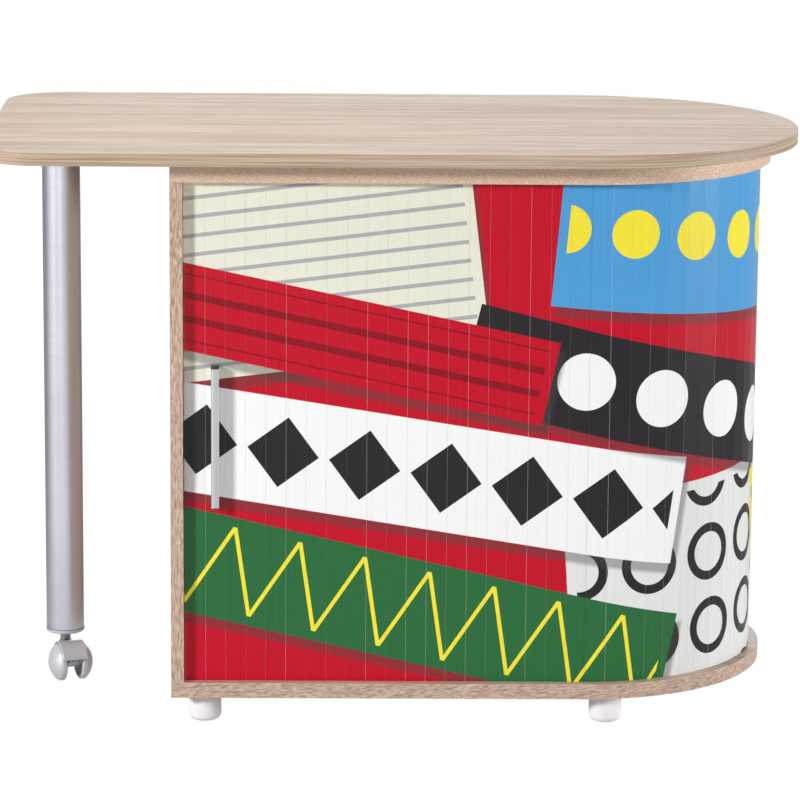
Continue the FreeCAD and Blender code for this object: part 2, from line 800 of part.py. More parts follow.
def make_pivot():
    pivot = "places.pivot_x"
    plate = turned("pivot_plate", [
        ("0", "places.pin_end"),
        ("places.pin_radius", "places.pin_end"),
        ("places.pin_radius", "places.plate_underside"),
        ("sizes.pivot_plate_diameter / 2", "places.plate_underside"),
        ("sizes.pivot_plate_diameter / 2", "places.table_underside"),
        ("0", "places.table_underside"),
    ], pivot)
    countersink(plate, "plate_screw_holes", "places.plate_underside",
                ring_of("sizes.pivot_screw_circle", 4), "sizes.pivot_plate_thickness")
    turned("glide_ring", [
        ("places.ring_inner", "places.cabinet_top"),
        ("places.ring_inner + sizes.glide_ring_width", "places.cabinet_top"),
        ("places.ring_inner + sizes.glide_ring_width", "places.plate_underside"),
        ("places.ring_inner", "places.plate_underside"),
    ], pivot)
    flange_top = "places.cabinet_top + sizes.bush_flange_thickness"
    turned("pivot_bush", [
        ("places.bush_bore", "places.ceiling"),
        ("places.bush_radius", "places.ceiling"),
        ("places.bush_radius", "places.cabinet_top"),
        ("places.flange_radius", "places.cabinet_top"),
        ("places.flange_radius", flange_top),
        ("places.bush_bore", flange_top),
    ], pivot)
    turned("pivot_washer", [
        ("places.bush_bore", "places.nut_top"),
        ("sizes.washer_diameter / 2", "places.nut_top"),
        ("sizes.washer_diameter / 2", "places.washer_top"),
        ("places.bush_bore", "places.washer_top"),
    ], pivot)
    make_nut()
    make_glide_pads()


def countersink(body, name, level, centres, thickness):
    """Countersunk screw holes up through a plate from a level."""
    holes(body, name, "XY_Plane", level, centres, "places.wood_screw_hole", thickness, forward=True)
    doc.recompute()
    base = body.Tip
    mouths = edges_of_holes(base, value(level), size("wood_screw_hole"))
    feature = body.newObject("PartDesign::Chamfer", name + "_heads")
    feature.Base = (base, mouths)
    feature.setExpression("Size", "places.screw_head_height")


def edges_of_holes(feature, level, diameter):
    """Names of the round edges of one diameter at a level."""
    names = []
    for index, edge in enumerate(feature.Shape.Edges, 1):
        if flat_at(level)(edge) and abs(edge.BoundBox.XLength - diameter) < TOLERANCE:
            names.append(f"Edge{index}")
    return names


def make_nut():
    """A hexagonal lock nut on the pin's thread."""
    corner_radius = size("nut_across_flats") / math.sqrt(3)
    centre = vector(size("pivot_x"), 0, size("nut_underside"))
    angles = [math.radians(60 * k) for k in range(6)]
    corners = [centre + vector(math.cos(a), math.sin(a), 0) * corner_radius for a in angles]
    block = Part.Face(Part.makePolygon(corners + corners[:1])).extrude(vector(0, 0, size("nut_height")))
    bore = Part.makeCylinder(size("pin_radius") + size("fit_clearance"), size("nut_height"), centre)
    group("pivot_nut", [block.cut(bore)])


def make_glide_pads():
    """Pads on the top panel that the table top slides on."""
    pads = []
    for angle in (45, 135, 225, 315):
        direction = vector(math.cos(math.radians(angle)), math.sin(math.radians(angle)), 0)
        base = vector(size("pivot_x"), 0, size("cabinet_top")) + direction * size("glide_pad_distance")
        pads.append(Part.makeCylinder(size("glide_pad_diameter") / 2, size("pad_thickness"), base))
    group("glide_pads", pads)


# Leg and caster


def make_leg():
    leg = "places.leg_x"
    spigot = "places.insert_radius"
    hollow = "places.insert_radius - sizes.leg_spigot_wall"
    spigot_end = "places.tube_top - sizes.leg_spigot_length"
    flange = turned("leg_flange", [
        (hollow, spigot_end),
        (spigot, spigot_end),
        (spigot, "places.tube_top"),
        ("sizes.leg_flange_diameter / 2", "places.tube_top"),
        ("sizes.leg_flange_diameter / 2", "places.table_underside"),
        (hollow, "places.table_underside"),
    ], leg)
    countersink(flange, "flange_screw_holes", "places.tube_top",
                ring_of("sizes.leg_screw_circle", 4), "sizes.leg_flange_thickness")
    turned("leg_tube", [
        ("places.leg_bore", "places.tube_bottom"),
        ("places.leg_radius", "places.tube_bottom"),
        ("places.leg_radius", "places.tube_top"),
        ("places.leg_bore", "places.tube_top"),
    ], leg)
    rim = "places.leg_radius + sizes.cap_rim_overhang"
    edge = "sizes.cap_edge_radius"
    bore = "places.sleeve_radius + sizes.fit_clearance"
    turned("leg_end_cap", [
        (bore, "places.cap_underside"),
        (f"{rim} - {edge}", "places.cap_underside", edge, 1),
        (rim, f"places.cap_underside + {edge}"),
        (rim, "places.tube_bottom"),
        ("places.insert_radius", "places.tube_bottom"),
        ("places.insert_radius", "places.sleeve_top"),
        (bore, "places.sleeve_top"),
    ], leg)
    turned("caster_sleeve", [
        ("places.sleeve_bore", "places.cap_underside"),
        ("places.sleeve_radius", "places.cap_underside"),
        ("places.sleeve_radius", "places.sleeve_top"),
        ("places.sleeve_bore", "places.sleeve_top"),
    ], leg)


def make_stem():
    leg = "places.leg_x"
    stem = "places.stem_radius"
    collar = "sizes.stem_collar_diameter / 2"
    groove = "places.stem_radius - sizes.clip_groove"
    clip_top = "places.clip_bottom + sizes.clip_thickness"
    stem_top = f"{clip_top} + sizes.stem_top"
    turned("caster_stem", [
        ("0", "places.stem_foot"),
        (stem, "places.stem_foot"),
        (stem, "places.hood_seat"),
        (collar, "places.hood_seat"),
        (collar, "places.cap_underside"),
        (stem, "places.cap_underside"),
        (stem, "places.clip_bottom"),
        (groove, "places.clip_bottom"),
        (groove, clip_top),
        (stem, clip_top),
        (stem, stem_top),
        ("0", stem_top),
    ], leg)
    inner = f"{groove} + sizes.fit_clearance"
    turned("stem_clip", [
        (inner, "places.clip_bottom"),
        (f"{inner} + sizes.clip_width", "places.clip_bottom"),
        (f"{inner} + sizes.clip_width", clip_top),
        (inner, clip_top),
    ], leg)


def make_hood():
    """The caster's cover: a visor over the treads, a web that holds the axle and a seat for the stem."""
    body = new_body("caster_hood")
    side = sketch_on(body, "hood_side", "YZ_Plane")
    outer = "places.hood_radius"
    rise = "sizes.hood_skirt_rise"
    inner = "places.hood_inner"
    hub = "(places.axle_radius + sizes.hood_hub_wall)"
    lip = "sizes.hood_lip"
    lip_top = f"({rise} + {lip})"
    lip_front = f"-sqrt({outer} ^ 2 - {rise} ^ 2) - {lip}"
    outline(side, [
        (lip_front, rise),
        (lip_front, lip_top),
        (f"-sqrt({outer} ^ 2 - {lip_top} ^ 2)", lip_top, outer, -1),
        (f"sqrt({outer} ^ 2 - {rise} ^ 2)", rise),
        (f"sqrt({inner} ^ 2 - {rise} ^ 2)", rise),
        (hub, "0", hub, -1),
        ("0", f"-{hub}", hub, -1),
        (f"-{hub}", "0"),
        (f"-sqrt({inner} ^ 2 - {rise} ^ 2)", rise),
    ])
    pad(body, side, "sizes.hood_width", both_ways=True)

    def top_rim(edge):
        box = edge.BoundBox
        return box.XLength < TOLERANCE and box.ZMax > size("hood_radius") - TOLERANCE

    round_edges(body, "hood_edges", top_rim, "sizes.hood_edge_radius")
    seat = "sizes.hood_seat_rise"
    trail = "sizes.caster_trail"
    half = "sizes.hood_seat_radius"
    boss = sketch_on(body, "hood_boss", "XY_Plane", rise)
    outline(boss, [
        (f"-{half}", "0"),
        (half, "0"),
        (half, trail, half, 1),
        ("0", f"{trail} + {half}", half, 1),
        (f"-{half}", trail),
    ])
    pad(body, boss, f"{seat} - {rise}")
    well = "2 * places.hood_inner"
    depth = "(sizes.hood_width - sizes.hood_web) / 2"
    for name, offset, forward in (
        ("left_well", "-sizes.hood_web / 2", False),
        ("right_well", "sizes.hood_web / 2", True),
    ):
        holes(body, name, "YZ_Plane", offset, [("0", "0")], well, depth, forward)
    axle = "2 * (places.axle_radius + sizes.fit_clearance)"
    holes(body, "axle_hole", "YZ_Plane", "sizes.hood_web / 2", [("0", "0")], axle, "sizes.hood_web")
    stem = "2 * (places.stem_radius + sizes.fit_clearance)"
    holes(body, "stem_hole", "XY_Plane", seat, [("0", trail)], stem,
          "sizes.stem_depth + sizes.depth_clearance")
    place(body, "places.axle_x", "places.axle_y", "places.wheel_radius", "sizes.caster_angle")


def make_wheel(label, side):
    """A wheel with a domed outer face and a hollow inner face; side is -1 at the left, 1 at the right."""
    def x(expression):
        return expression if side > 0 else f"-({expression})"
    radius = "places.wheel_radius"
    edge = "sizes.wheel_edge_radius"
    recess = "places.wheel_inner + sizes.wheel_recess_depth"
    hub = "places.wheel_bore + sizes.wheel_hub_wall"
    rim = f"{radius} - sizes.wheel_rim"
    corners = [
        (x("places.wheel_bore_end"), "0"),
        (x("places.wheel_outer"), "0", "places.dome_radius", side),
        (x("places.wheel_rim_x"), radius),
        (x(f"places.wheel_inner + {edge}"), radius, edge, side),
        (x("places.wheel_inner"), f"{radius} - {edge}"),
        (x("places.wheel_inner"), rim),
        (x(recess), rim),
        (x(recess), hub),
        (x("places.wheel_inner"), hub),
        (x("places.wheel_inner"), "places.wheel_bore"),
        (x("places.wheel_bore_end"), "places.wheel_bore"),
    ]
    body = turned(label, corners, "places.axle_x", "places.axle_y", radius, "H_Axis",
                  "sizes.caster_angle")

    def outer_rim(edge):
        box = edge.BoundBox
        offset = abs(box.Center.x - side * size("wheel_rim_x"))
        return offset < TOLERANCE and box.XLength < TOLERANCE

    round_edges(body, label + "_rim", outer_rim, "sizes.wheel_rim_radius")


def make_axle():
    axle = new_body("caster_axle")
    section = sketch_on(axle, "axle_section", "YZ_Plane")
    circles(section, [("0", "0")], "sizes.axle_diameter")
    pad(axle, section, "2 * places.axle_end", both_ways=True)
    place(axle, "places.axle_x", "places.axle_y", "places.wheel_radius", "sizes.caster_angle")


# Fasteners


def wood_screw(x, y, z):
    """A countersunk wood screw driven upward, its head flush with a face at height z."""
    head, shank = size("wood_screw_head") / 2, size("wood_screw_diameter") / 2
    head_height = size("screw_head_height")
    base = vector(x, y, z)
    cone = Part.makeCone(head, shank, head_height, base)
    neck = base + vector(0, 0, head_height)
    body = Part.makeCylinder(shank, size("wood_screw_length") - head_height, neck)
    return cone.fuse(body).removeSplitter()


def upright_pins(centres, diameter, length, level):
    """Upright round pins on a list of places, from a level up."""
    radius = diameter / 2
    return [Part.makeCylinder(radius, length, vector(value(x), value(y), level)) for x, y in centres]


def make_fasteners():
    for label, centres, level in (
        ("pivot_plate_screws", PLATE_SCREWS, "plate_underside"),
        ("leg_flange_screws", FLANGE_SCREWS, "tube_top"),
    ):
        group(label, [wood_screw(value(x), value(y), size(level)) for x, y in centres])
    floor, ceiling = size("cabinet_floor"), size("ceiling")
    dowel, depth = size("dowel_length"), size("dowel_board_depth")
    low = upright_pins(DOWELS, size("dowel_diameter"), dowel, floor - depth)
    high = upright_pins(DOWELS, size("dowel_diameter"), dowel, ceiling + depth - dowel)
    group("carcass_dowels", low + high)
    bolt_depth = size("cam_bolt_board_depth")
    bolt = bolt_depth + size("cam_distance") - size("cam_diameter") / 2 - size("fit_clearance")
    low = upright_pins(CAM_BOLTS, size("cam_bolt_diameter"), bolt, floor - bolt_depth)
    high = upright_pins(CAM_BOLTS, size("cam_bolt_diameter"), bolt, ceiling + bolt_depth - bolt)
    group("cam_bolts", low + high)
    stud_level = size("foot_height") - size("stud_half")
    studs = upright_pins(FEET.values(), size("foot_stud_diameter"), size("foot_stud_length"), stud_level)
    group("foot_studs", studs)


def make_cam_locks():
    """Round cams let into the panels' faces over the ends of their bolts."""
    radius, depth = size("cam_diameter") / 2, size("cam_depth")
    levels = (size("cabinet_floor") + size("cam_distance"), size("ceiling") - size("cam_distance"))
    cams = []
    for centres, face, way in ((SIDE_CAMS, "inner_left", -1), (PARTITION_CAMS, "partition_left", 1)):
        for _, y in centres:
            for z in levels:
                mouth = vector(size(face), value(y), z)
                cams.append(Part.makeCylinder(radius, depth, mouth, vector(way, 0, 0)))
    group("cam_locks", cams)


def make_shelf_pins():
    """Pins half in the panels that the shelves lie on."""
    radius, half = size("shelf_pin_diameter") / 2, size("shelf_pin_length") / 2
    pins = []
    for y in SHELF_PIN_ROWS:
        for height in SHELF_HEIGHTS:
            z = size("cabinet_floor") + value(height) - size("shelf_pin_drop")
            for face in ("inner_left", "partition_left"):
                start = vector(size(face) - half, value(y), z)
                pins.append(Part.makeCylinder(radius, 2 * half, start, vector(1, 0, 0)))
    group("shelf_pins", pins)


def make_handle_screws():
    """Pan-head screws through the handle's slat, from inside the cabinet."""
    shank, head = size("handle_screw_diameter") / 2, size("handle_screw_head") / 2
    head_height = size("handle_screw_head_height")
    length = size("slat_thickness") + size("handle_back_wall") + size("handle_screw_end")
    screws = []
    outward = vector(0, -1, 0)
    for height in HANDLE_SCREWS:
        seat = vector(size("handle_x"), -size("shutter_back"), value(height))
        pan = Part.makeCylinder(head, head_height, seat - outward * head_height, outward)
        screws.append(pan.fuse(Part.makeCylinder(shank, length, seat, outward)).removeSplitter())
    group("handle_screws", screws)


make_table_top()
make_boards()
make_panels()
make_shelf("lower_shelf", "sizes.lower_shelf_height")
make_shelf("upper_shelf", "sizes.upper_shelf_height")
make_feet()
make_shutter()
make_handle()
make_pivot()
make_leg()
make_stem()
make_hood()
make_wheel("wheel_left", -1)
make_wheel("wheel_right", 1)
make_axle()
make_fasteners()
make_cam_locks()
make_shelf_pins()
make_handle_screws()
doc.recompute()

# Check everything, then write each piece
for item in doc.Objects:
    if "Invalid" in item.State or "Error" in item.State:
        raise RuntimeError(f"{item.Label} failed: {item.State}")

PIECE_KINDS = ("PartDesign::Body", "Part::Box", "Part::Feature")
pieces = [item for item in doc.Objects if item.TypeId in PIECE_KINDS]
for piece in pieces:
    if piece.Shape.isNull() or not piece.Shape.isValid():
        raise RuntimeError(f"{piece.Label} has no valid shape")

os.makedirs("parts", exist_ok=True)
for piece in pieces:
    piece.Shape.exportStep(f"parts/{piece.Label}.step")
    print(piece.Label, len(piece.Shape.Solids), round(piece.Shape.Volume), "mm3")
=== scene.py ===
"""Dresses the swivel desk: camera, studio, materials, the shutter's slats and small details."""
import math

import bpy
from mathutils import Matrix, Vector


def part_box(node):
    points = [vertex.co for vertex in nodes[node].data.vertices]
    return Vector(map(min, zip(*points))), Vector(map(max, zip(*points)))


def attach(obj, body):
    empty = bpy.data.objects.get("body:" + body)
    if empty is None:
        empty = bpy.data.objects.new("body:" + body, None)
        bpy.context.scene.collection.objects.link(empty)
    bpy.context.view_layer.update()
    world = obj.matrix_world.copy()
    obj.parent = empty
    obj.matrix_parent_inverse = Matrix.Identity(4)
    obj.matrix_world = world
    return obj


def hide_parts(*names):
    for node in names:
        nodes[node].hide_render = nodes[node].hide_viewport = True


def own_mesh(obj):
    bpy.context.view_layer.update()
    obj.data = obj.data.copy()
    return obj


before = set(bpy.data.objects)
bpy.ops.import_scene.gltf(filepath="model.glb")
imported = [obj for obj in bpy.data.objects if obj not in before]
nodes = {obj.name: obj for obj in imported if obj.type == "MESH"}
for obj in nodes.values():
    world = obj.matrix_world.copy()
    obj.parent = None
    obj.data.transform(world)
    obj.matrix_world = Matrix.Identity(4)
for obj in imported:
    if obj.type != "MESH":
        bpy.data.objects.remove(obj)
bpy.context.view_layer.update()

X_AXIS = 0
Y_AXIS = 1
Z_AXIS = 2

# Camera: place in metres, angles in radians, focal length in pixels of an 800 pixel frame
CAMERA_PLACE = (-0.0688, -5.2276, 1.4870)
CAMERA_YAW = 0.0147
CAMERA_PITCH = 0.2088
CAMERA_ROLL = 0.0081
CAMERA_FOCAL = 4030.0
CAMERA_REACH = 200.0
FRAME_PIXELS = 800.0
SENSOR = 36.0

# Shutter, in metres
PIVOT_X = 0.245
SHUTTER_FACE = 0.232
SLAT_PITCH = 0.02564
SLAT_THICKNESS = 0.005
SLAT_BOTTOM = 0.0515
SLAT_TOP = 0.7145
SLAT_ROUND = 0.0002
SLAT_ROUND_STEPS = 3
SLAT_TAPER = 0.0003
SLAT_BACK_BEVEL = 0.0006
SLAT_BACK_RISE = 0.0018
SLAT_SEAM = 0.00012
CLOSING_EDGE = 0.0017
LEAD_COUNT = 2
FRONT_COUNT = 20
BEND_COUNT = 28
TAIL_COUNT = 2

# Handle: eased edges in metres; the flat share of its front, and how fast the front falls away beside it
HANDLE_ROUNDING = 0.0014
HANDLE_ROUNDING_STEPS = 4
CROWN_FLAT = 0.25
CROWN_FALL = 95.0

# Caster: its turn about the leg, and the middle of its axle in metres
CASTER_TURN = math.radians(20)
CASTER_TRAIL = 0.023
LEG_X = -0.438
WHEEL_RADIUS = 0.025
AXLE_PLACE = (
    LEG_X + CASTER_TRAIL * math.sin(CASTER_TURN),
    -CASTER_TRAIL * math.cos(CASTER_TURN),
    WHEEL_RADIUS,
)

# Ribs under the caster's hood, in metres from the middle of the axle: outline in Y and Z, places across
RIB_OUTLINE = ((-0.0262, 0.0092), (-0.0262, 0.0058), (-0.0150, 0.0012), (-0.0110, 0.0020), (-0.0220, 0.0092))
RIB_MIDDLES = (-0.0066, -0.0022, 0.0022, 0.0066)
RIB_HALF = 0.0006

# Black ring of painted shadow at the bottom of the leg's tube, in place of the shade in the gap at its end
# cap; in metres from the tube's surface and its end
RING_INSIDE = 0.0002
RING_OUTSIDE = 0.0003
RING_BELOW = 0.0002
RING_ABOVE = 0.0007
RING_STEPS = 96

# Noise: its plain roughness, and ranges that hold most of its values
NOISE_ROUGHNESS = 0.55
NARROW = (0.35, 0.65)
WIDE = (0.3, 0.7)


def rgb(red, green, blue):
    """A colour given as 0 to 255 screen values, in the linear values that shaders take."""
    linear = []
    for level in (red, green, blue):
        share = level / 255
        linear.append(share / 12.92 if share <= 0.04045 else ((share + 0.055) / 1.055) ** 2.4)
    return (*linear, 1.0)


def shaded(colour, share):
    """A darker tone of a colour."""
    return tuple(share * part for part in colour[:3]) + (1.0,)


class Tree:
    """A node tree, built with short calls. A value is a number, a tuple or another node's output."""

    def __init__(self, tree):
        self.tree = tree

    def add(self, kind, **settings):
        node = self.tree.nodes.new("ShaderNode" + kind)
        for key, setting in settings.items():
            setattr(node, key, setting)
        return node

    def feed(self, socket, value):
        if isinstance(value, bpy.types.NodeSocket):
            self.tree.links.new(value, socket)
        elif value is not None:
            socket.default_value = value

    def math(self, operation, first, second=None, third=None):
        node = self.add("Math", operation=operation)
        for socket, value in zip(node.inputs, (first, second, third)):
            self.feed(socket, value)
        return node.outputs[0]

    def split(self, vector):
        node = self.add("SeparateXYZ")
        self.feed(node.inputs[0], vector)
        return node.outputs

    def join(self, x, y, z=0.0):
        node = self.add("CombineXYZ")
        for socket, value in zip(node.inputs, (x, y, z)):
            self.feed(socket, value)
        return node.outputs[0]

    def object_place(self):
        return self.add("TexCoord").outputs["Object"]

    def object_normal(self):
        return self.add("TexCoord").outputs["Normal"]

    def uv(self, layer):
        return self.add("UVMap", uv_map=layer).outputs[0]

    def mapped(self, vector, scale=(1, 1, 1), rotation=(0, 0, 0), location=(0, 0, 0)):
        node = self.add("Mapping")
        self.feed(node.inputs["Vector"], vector)
        node.inputs["Scale"].default_value = scale
        node.inputs["Rotation"].default_value = rotation
        node.inputs["Location"].default_value = location
        return node.outputs[0]

    def noise(self, vector, scale=1.0, detail=3.0, roughness=NOISE_ROUGHNESS, distortion=0.0):
        node = self.add("TexNoise")
        self.feed(node.inputs["Vector"], vector)
        node.inputs["Scale"].default_value = scale
        node.inputs["Detail"].default_value = detail
        node.inputs["Roughness"].default_value = roughness
        node.inputs["Distortion"].default_value = distortion
        return node.outputs["Fac"]

    def spread(self, value, low, high, start=0.0, end=1.0):
        """Maps low to start and high to end, and holds the ends."""
        node = self.add("MapRange", clamp=True)
        for socket, part in zip(node.inputs, (value, low, high, start, end)):
            self.feed(socket, part)
        return node.outputs[0]

    def mix(self, factor, first, second, blend="MIX"):
        node = self.add("Mix", data_type="RGBA", blend_type=blend)
        self.feed(node.inputs["Factor"], factor)
        colours = [s for s in node.inputs if s.type == "RGBA"]
        self.feed(colours[0], first)
        self.feed(colours[1], second)
        return [s for s in node.outputs if s.type == "RGBA"][0]

    def ramp(self, factor, *stops):
        node = self.add("ValToRGB")
        self.feed(node.inputs[0], factor)
        elements = node.color_ramp.elements
        while len(elements) < len(stops):
            elements.new(0.5)
        for element, (place, colour) in zip(elements, stops):
            element.position = place
            element.color = colour
        return node.outputs[0]

    def bump(self, height, strength, distance, normal=None):
        node = self.add("Bump")
        node.inputs["Strength"].default_value = strength
        node.inputs["Distance"].default_value = distance
        self.feed(node.inputs["Height"], height)
        self.feed(node.inputs["Normal"], normal)
        return node.outputs[0]


class Graph(Tree):
    """The node tree of a new material."""

    def __init__(self, name):
        self.material = bpy.data.materials.new(name)
        self.material.use_nodes = True
        super().__init__(self.material.node_tree)
        self.shader = self.tree.nodes["Principled BSDF"]

    def set(self, **values):
        """Feeds sockets of the material's shader; an underscore in a name stands for a space."""
        for key, value in values.items():
            self.feed(self.shader.inputs[key.replace("_", " ")], value)


# Wood: tones of the boards' faces and edges, each with its place in the range of the grain's noise
FACE_TONES = ((0.37, rgb(188, 162, 141)), (0.48, rgb(209, 186, 167)), (0.60, rgb(225, 206, 188)))
# The bottom board's faces take darker tones than the other boards' faces: painted shade, as under the table
# top's overhang.
SHADED_BASE_TONES = ((0.37, rgb(146, 123, 106)), (0.48, rgb(164, 142, 126)), (0.60, rgb(180, 159, 142)))
EDGE_TONES = ((0.38, rgb(158, 131, 112)), (0.50, rgb(187, 163, 144)), (0.62, rgb(213, 191, 173)))
BASE_EDGE_TONES = ((0.39, rgb(155, 127, 110)), (0.50, rgb(185, 160, 142)), (0.61, rgb(212, 190, 172)))
TOP_EDGE_TONES = ((0.33, rgb(154, 131, 110)), (0.50, rgb(182, 160, 139)), (0.67, rgb(208, 188, 168)))
PANEL_EDGE_TONES = ((0.34, rgb(180, 151, 129)), (0.50, rgb(213, 185, 161)), (0.66, rgb(236, 213, 191)))
FIGURE_COLOUR = rgb(170, 142, 120)
PORE_COLOUR = rgb(178, 152, 130)
PINK_COLOUR = rgb(200, 166, 150)

# Wood: scales of its layers of noise along and across the grain
BROAD_SCALES = (1.6, 14)
STREAK_SCALES = (7.0, 190)
BAND_SCALES = (2.4, 75)
PORE_SCALES = (40, 420)
FIGURE_SCALES = (0.75, 4.2)
FIGURE_PLACE_SCALES = (2.0, 9)
PATCH_SCALE = 0.45

# Wood: shares of the layers in the tone, the strength of the marks, and the noise that brings them out
BROAD_SHARE = 0.3
STREAK_SHARE = 0.7
BAND_SHARE = 0.5
FIGURE_RINGS = 17.0
FIGURE_LINE = 0.12
FIGURE_STRENGTH = 0.42
FIGURE_PLACE_RANGE = (0.45, 0.62)
PORE_STRENGTH = 0.42
PORE_RANGE = (0.52, 0.68)
PINK_STRENGTH = 0.4
PATCH_RANGE = (0.42, 0.58)

# Wood: how square to the thickness a face is, the range of roughness, the shine, and the relief
FACE_RANGE = (0.6, 0.75)
WOOD_ROUGHNESS = (0.38, 0.52)
WOOD_SHINE = 0.25
WOOD_BUMP = (0.12, 0.0006)


def wood(name, grain, thin, edge_scales, edge_turn=(0, 0, 0), face_tones=FACE_TONES,
         edge_tones=EDGE_TONES, pink=PINK_STRENGTH):
    """Pale oak decor; grain is the axis that it runs along, thin the axis of the board's thickness."""
    g = Graph(name)
    place = g.object_place()

    def layer(scales, detail, roughness=NOISE_ROUGHNESS, distortion=0.0):
        """Noise drawn out along the grain."""
        stretched = tuple(scales[0] if axis == grain else scales[1] for axis in range(3))
        return g.noise(g.mapped(place, stretched), 1.0, detail, roughness, distortion)

    broad = layer(BROAD_SCALES, 2.0)
    streak = layer(STREAK_SCALES, 4.0, 0.62, 0.2)
    bands = layer(BAND_SCALES, 2.0, 0.5, 0.15)
    tone = g.math("ADD", g.math("MULTIPLY", broad, BROAD_SHARE), g.math("MULTIPLY", streak, STREAK_SHARE))
    tone = g.math("MULTIPLY_ADD", g.math("SUBTRACT", bands, 0.5), BAND_SHARE, tone)
    face = g.ramp(tone, *face_tones)
    figure = layer(FIGURE_SCALES, 1.5, 0.5, 0.25)
    rings = g.math("FRACT", g.math("MULTIPLY", figure, FIGURE_RINGS))
    off_ring = g.math("ABSOLUTE", g.math("SUBTRACT", rings, 0.5))
    line = g.spread(off_ring, 0.0, FIGURE_LINE, 1.0, 0.0)
    where = g.spread(layer(FIGURE_PLACE_SCALES, 2.0), *FIGURE_PLACE_RANGE)
    line = g.math("MULTIPLY", line, where)
    face = g.mix(g.math("MULTIPLY", line, FIGURE_STRENGTH), face, FIGURE_COLOUR)
    dark_pores = g.spread(layer(PORE_SCALES, 2.0, 0.6), *PORE_RANGE, 0.0, PORE_STRENGTH)
    face = g.mix(dark_pores, face, PORE_COLOUR)
    edge_place = g.mapped(g.mapped(place, rotation=edge_turn), edge_scales)
    speck = g.noise(edge_place, detail=3.0, roughness=0.6, distortion=0.2)
    edge = g.ramp(speck, *edge_tones)
    patch = g.noise(edge_place, PATCH_SCALE, detail=2.0)
    edge = g.mix(g.spread(patch, *PATCH_RANGE, 0.0, pink), edge, PINK_COLOUR)
    normal = g.split(g.object_normal())[thin]
    on_face = g.spread(g.math("ABSOLUTE", normal), *FACE_RANGE)
    g.set(Base_Color=g.mix(on_face, edge, face))
    g.set(Roughness=g.spread(streak, *WIDE, *WOOD_ROUGHNESS), Specular_IOR_Level=WOOD_SHINE)
    relief = g.math("SUBTRACT", streak, dark_pores)
    g.set(Normal=g.bump(relief, *WOOD_BUMP))
    return g.material


# Metal, plastic and beech: shares of the tone, scales of the noise, darkest tones, roughness and relief
METAL_LINES = 0.6
METAL_CLOUDS = 0.4
METAL_CLOUD_SCALE = 9.0
METAL_SHADE = 0.9
METAL_BUMP = (0.06, 0.0002)
PLASTIC_GRAIN_SCALE = 900.0
PLASTIC_CLOUD_SCALE = 22.0
PLASTIC_SHADE = 0.93
PLASTIC_SPREAD = 0.05
PLASTIC_BUMP = (0.05, 0.0002)
BEECH_SCALES = (400, 400, 60)
BEECH_SHADE = 0.8
BEECH_ROUGHNESS = 0.6
BEECH_BUMP = (0.1, 0.0003)


def satin_metal(name, colour, roughness, scales, spread=0.08, crown=None):
    """A metal with fine brushed or drawn lines; a crown gives a rounded face's middle and half width."""
    g = Graph(name)
    place = g.object_place()
    lines = g.noise(g.mapped(place, scales), detail=4.0, roughness=0.6)
    cloud = g.noise(place, METAL_CLOUD_SCALE)
    tone = g.math("ADD", g.math("MULTIPLY", lines, METAL_LINES), g.math("MULTIPLY", cloud, METAL_CLOUDS))
    g.set(Base_Color=g.mix(g.spread(tone, *NARROW), shaded(colour, METAL_SHADE), colour))
    g.set(Metallic=1.0, Roughness=g.spread(lines, *WIDE, roughness - spread, roughness + spread))
    normal = g.bump(lines, *METAL_BUMP)
    if crown:
        middle, half = crown
        off = g.math("ABSOLUTE", g.math("SUBTRACT", g.split(place)[X_AXIS], middle))
        beyond = g.math("MAXIMUM", g.math("SUBTRACT", off, CROWN_FLAT * half), 0.0)
        fall = g.math("MULTIPLY", g.math("MULTIPLY", beyond, beyond), -CROWN_FALL)
        normal = g.bump(fall, 1.0, 1.0, normal)
    g.set(Normal=normal)
    return g.material


def plastic(name, colour, roughness, metallic=0.0):
    """A moulded plastic with a fine surface grain and faint clouds of tone."""
    g = Graph(name)
    place = g.object_place()
    fine = g.noise(place, PLASTIC_GRAIN_SCALE, detail=2.0)
    cloud = g.noise(place, PLASTIC_CLOUD_SCALE)
    g.set(Base_Color=g.mix(g.spread(cloud, *NARROW), shaded(colour, PLASTIC_SHADE), colour))
    smooth = roughness - PLASTIC_SPREAD
    rough = roughness + PLASTIC_SPREAD
    g.set(Roughness=g.spread(cloud, *WIDE, smooth, rough), Metallic=metallic)
    g.set(Normal=g.bump(fine, *PLASTIC_BUMP))
    return g.material


def plain_wood(name, colour):
    """Turned beech: fine flecks along the dowel."""
    g = Graph(name)
    flecks = g.noise(g.mapped(g.object_place(), BEECH_SCALES))
    base = g.mix(g.spread(flecks, *NARROW), shaded(colour, BEECH_SHADE), colour)
    g.set(Base_Color=base, Roughness=BEECH_ROUGHNESS)
    g.set(Normal=g.bump(flecks, *BEECH_BUMP))
    return g.material


# Printed picture on the shutter: plain coloured papers laid over each other
RED = rgb(194, 8, 38)
DEEP_RED = rgb(138, 8, 28)
GREEN = rgb(40, 106, 58)
BLUE = rgb(80, 158, 216)
CHARCOAL = rgb(36, 32, 36)
WHITE = rgb(246, 246, 246)
PALE = rgb(228, 230, 228)
CREAM = rgb(232, 232, 214)
YELLOW = rgb(246, 230, 62)
GREY = rgb(172, 174, 176)

# Papers, in metres: their shadows, the margin and fade of their motifs, and the softness of an edge
SHADOW_SHIFT = (0.006, -0.013)
SHADOW_EDGE = (-0.002, 0.004)
SHADOW_STRENGTH = 0.55
SHADOW_COLOUR = (0.05, 0.045, 0.045, 1)
MOTIF_MARGIN = 0.012
MOTIF_FADE = 0.0005
EDGE_SOFTNESS = 0.0003

# Whole cells added before a pattern repeats, so that every place on the print counts up from zero
CELLS_BEFORE = 10

